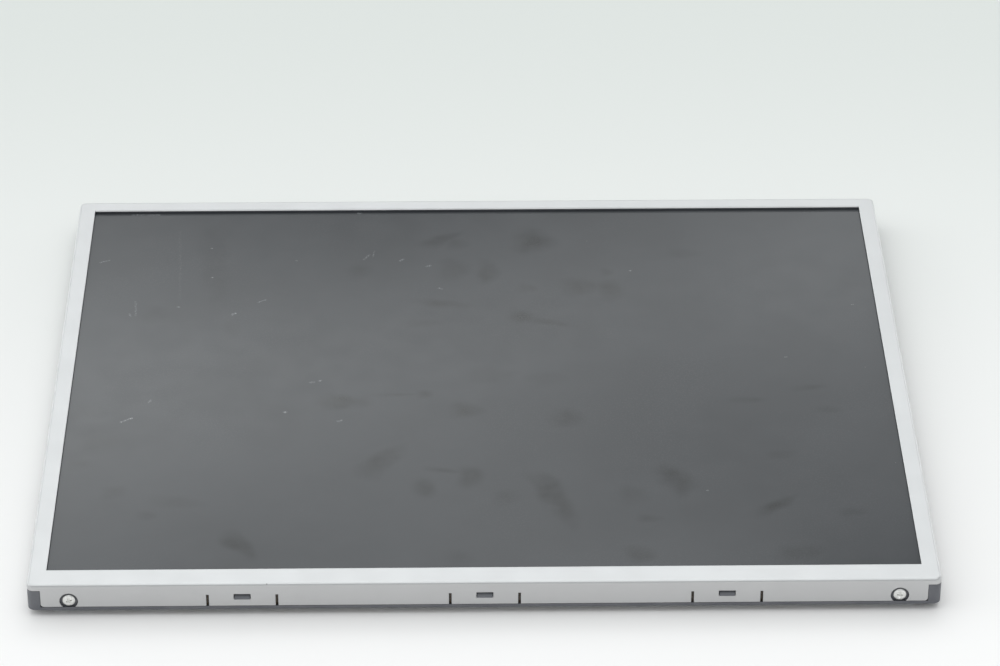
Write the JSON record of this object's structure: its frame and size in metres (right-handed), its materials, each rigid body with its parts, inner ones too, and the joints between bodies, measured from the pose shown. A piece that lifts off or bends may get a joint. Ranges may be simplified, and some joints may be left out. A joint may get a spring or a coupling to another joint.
{
  "type": "lcd screen panel",
  "caption": "Flat liquid crystal screen module: folded steel bezel round a matt dark screen, black plastic frame, edge lamps, steel back tray and shielded control board.",
  "frame": {"origin": "under the middle of the outline, on the surface that the module lies on with its screen up", "axes": "+Z out of the screen, +X along the long side to the right, +Y along the short side, away from the edge that holds the control board"},
  "size_m": [0.397, 0.325, 0.0165],
  "materials": {
    "bezel_steel": "satin zinc-coated sheet, slightly blue-grey",
    "chassis_steel": "zinc-coated sheet with a faint spangle",
    "shield_aluminium": "thin bright sheet",
    "frame_plastic": "matt black moulding",
    "screen_film": "fine anti-glare surface",
    "rear_film": "smooth dark film",
    "cell_glass": "polished",
    "gasket_foam": "matt black foam",
    "diffuser_film": "milky film",
    "reflector_film": "bright white film",
    "guide_acrylic": "polished clear acrylic",
    "bumper_rubber": "grey rubber",
    "lamp_glass": "white-coated tube",
    "lamp_mirror": "silvered film on thin sheet",
    "holder_rubber": "white silicone",
    "driver_film": "amber film with fine copper tracks",
    "board_laminate": "green solder mask",
    "chip_resin": "moulded black resin",
    "coil_ferrite": "dark grey ferrite",
    "socket_plastic": "ivory moulding",
    "screw_steel": "pale zinc plating",
    "nut_steel": "pale zinc plating"
  },
  "bodies": {
    "root": {"front_bezel": "bezel_steel", "mould_frame": "frame_plastic", "bottom_chassis": "chassis_steel", "board_shield": "shield_aluminium", "front_polariser": "screen_film", "rear_polariser": "rear_film", "colour_filter_glass": "cell_glass", "array_glass": "cell_glass", "reflector_sheet": "reflector_film", "lower_diffuser": "diffuser_film", "prism_sheet": "diffuser_film", "upper_diffuser": "diffuser_film", "light_guide": "guide_acrylic", "control_board": "board_laminate", "timing_controller": "chip_resin", "supply_chip": "chip_resin", "supply_coil": "coil_ferrite", "signal_socket": "socket_plastic", "side_screws": "screw_steel", "board_screws": "screw_steel", "shield_screws": "screw_steel", "mount_nuts": "nut_steel", "gasket_near": "gasket_foam", "gasket_far": "gasket_foam", "gasket_left": "gasket_foam", "gasket_right": "gasket_foam", "lamp_reflector_near": "lamp_mirror", "lamp_near_low": "lamp_glass", "lamp_near_high": "lamp_glass", "lamp_holder_near_left": "holder_rubber", "guide_bumper_left_near": "bumper_rubber", "lamp_holder_near_right": "holder_rubber", "guide_bumper_right_near": "bumper_rubber", "lamp_reflector_far": "lamp_mirror", "lamp_far_low": "lamp_glass", "lamp_far_high": "lamp_glass", "lamp_holder_far_left": "holder_rubber", "guide_bumper_left_far": "bumper_rubber", "lamp_holder_far_right": "holder_rubber", "guide_bumper_right_far": "bumper_rubber", "source_film_1": "driver_film", "source_film_2": "driver_film", "source_film_3": "driver_film", "source_film_4": "driver_film", "source_film_5": "driver_film", "source_film_6": "driver_film", "source_film_7": "driver_film", "source_film_8": "driver_film", "source_film_9": "driver_film", "source_film_10": "driver_film", "gate_film_1": "driver_film", "gate_film_2": "driver_film", "gate_film_3": "driver_film", "gate_film_4": "driver_film"}
  },
  "joints": []
}
